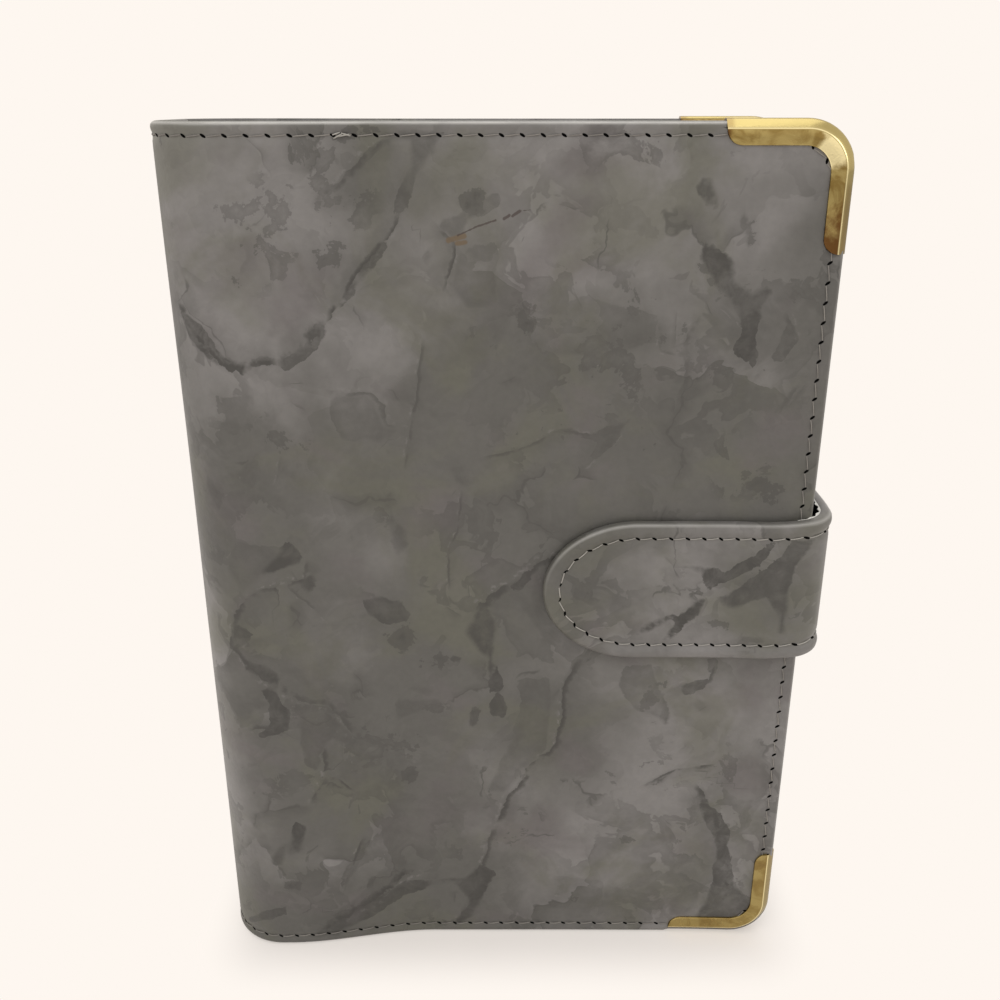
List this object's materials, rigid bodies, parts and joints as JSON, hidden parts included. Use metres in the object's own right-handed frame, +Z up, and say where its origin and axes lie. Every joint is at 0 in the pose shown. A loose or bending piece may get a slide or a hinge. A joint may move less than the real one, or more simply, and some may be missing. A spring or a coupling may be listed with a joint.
{
  "type": "budget binder",
  "caption": "Small marbled leather ring binder with gold corners and a magnetic strap, holding zip pouches and sheets.",
  "frame": {"origin": "centre of the closed binder's footprint, on the surface that it stands on", "axes": "+Z up along the spine, +X from the spine towards the fore-edge, -Y out of the front cover"},
  "size_m": [0.1366, 0.04, 0.1905],
  "materials": {
    "marbled_leather": "coated leather with a grey stone-vein print, semi-gloss",
    "board": "grey board",
    "lining": "smooth black lining",
    "pocket": "black coated fabric",
    "gold_corner": "gold-plated sheet, lightly tarnished",
    "ring_steel": "nickel-plated steel",
    "magnet": "plated magnet",
    "clear_film": "clear flexible film",
    "zip_tape": "woven tape with nylon coil",
    "zip_slider": "plated slider",
    "paper": "uncoated ruled paper"
  },
  "bodies": {
    "spine": {"spine_skin": "marbled_leather", "spine_board": "board", "spine_lining": "lining", "front_fold": "marbled_leather", "back_fold": "marbled_leather", "ring_shell": "ring_steel", "rivet_top": "ring_steel", "rivet_bottom": "ring_steel", "pouch_1": "clear_film", "pouch_2": "clear_film", "pouch_3": "clear_film", "pouch_4": "clear_film", "pouch_5": "clear_film", "pouch_6": "clear_film", "zip_1": "zip_tape", "zip_2": "zip_tape", "zip_3": "zip_tape", "zip_4": "zip_tape", "zip_5": "zip_tape", "zip_6": "zip_tape", "budget_sheets": "paper"},
    "front_cover": {"front_skin": "marbled_leather", "front_board": "board", "front_lining": "lining", "front_magnet": "magnet", "card_slot_1": "pocket", "card_slot_2": "pocket", "card_slot_3": "pocket", "corner_front_top": "gold_corner", "corner_front_bottom": "gold_corner"},
    "back_cover": {"back_skin": "marbled_leather", "back_board": "board", "back_lining": "lining", "back_pocket": "pocket", "corner_back_top": "gold_corner", "corner_back_bottom": "gold_corner", "strap_anchor": "marbled_leather"},
    "strap": {"strap_leather": "marbled_leather", "strap_lining": "lining", "strap_magnet": "magnet"},
    "front_rings": {"blade_front": "ring_steel", "half_rings_front": "ring_steel"},
    "back_rings": {"blade_back": "ring_steel", "half_rings_back": "ring_steel"},
    "zip_slider_1": {"slider_1": "zip_slider"},
    "zip_slider_2": {"slider_2": "zip_slider"},
    "zip_slider_3": {"slider_3": "zip_slider"},
    "zip_slider_4": {"slider_4": "zip_slider"},
    "zip_slider_5": {"slider_5": "zip_slider"},
    "zip_slider_6": {"slider_6": "zip_slider"}
  },
  "joints": [
    {"name": "front_cover_hinge", "type": "hinge", "parent": "spine", "child": "front_cover", "pos_m": [-0.06545, -0.0172, 0.095], "axis": [0, 0, -1], "range_deg": [0, 180], "deforming": ["front_fold"]},
    {"name": "back_cover_hinge", "type": "hinge", "parent": "spine", "child": "back_cover", "pos_m": [-0.06545, 0.0172, 0.095], "axis": [0, 0, 1], "range_deg": [0, 180], "deforming": ["back_fold"]},
    {"name": "strap_swing", "type": "hinge", "parent": "back_cover", "child": "strap", "pos_m": [0.06125, 0.0188, 0.095], "axis": [0, 0, 1], "range_deg": [0, 135]},
    {"name": "rings_open", "type": "hinge", "parent": "spine", "child": "front_rings", "pos_m": [-0.06395, -0.0058, 0.095], "axis": [0, 0, -1], "range_deg": [0, 11], "deforming": ["pouch_1", "pouch_2", "pouch_3", "pouch_4", "pouch_5", "pouch_6", "budget_sheets"]},
    {"name": "rings_open_back", "type": "hinge", "parent": "spine", "child": "back_rings", "pos_m": [-0.06395, 0.0058, 0.095], "axis": [0, 0, 1], "range_deg": [0, 11]},
    {"name": "zip_1_slide", "type": "slide", "parent": "spine", "child": "zip_slider_1", "axis": [-1, 0, 0], "range_m": [0, 0.0668]},
    {"name": "zip_2_slide", "type": "slide", "parent": "spine", "child": "zip_slider_2", "axis": [-1, 0, 0], "range_m": [0, 0.0668]},
    {"name": "zip_3_slide", "type": "slide", "parent": "spine", "child": "zip_slider_3", "axis": [-1, 0, 0], "range_m": [0, 0.0668]},
    {"name": "zip_4_slide", "type": "slide", "parent": "spine", "child": "zip_slider_4", "axis": [-1, 0, 0], "range_m": [0, 0.0668]},
    {"name": "zip_5_slide", "type": "slide", "parent": "spine", "child": "zip_slider_5", "axis": [-1, 0, 0], "range_m": [0, 0.0668]},
    {"name": "zip_6_slide", "type": "slide", "parent": "spine", "child": "zip_slider_6", "axis": [-1, 0, 0], "range_m": [0, 0.0668]}
  ],
  "couplings": [
    {"joint": "rings_open_back", "follows": "rings_open", "ratio": 1}
  ]
}
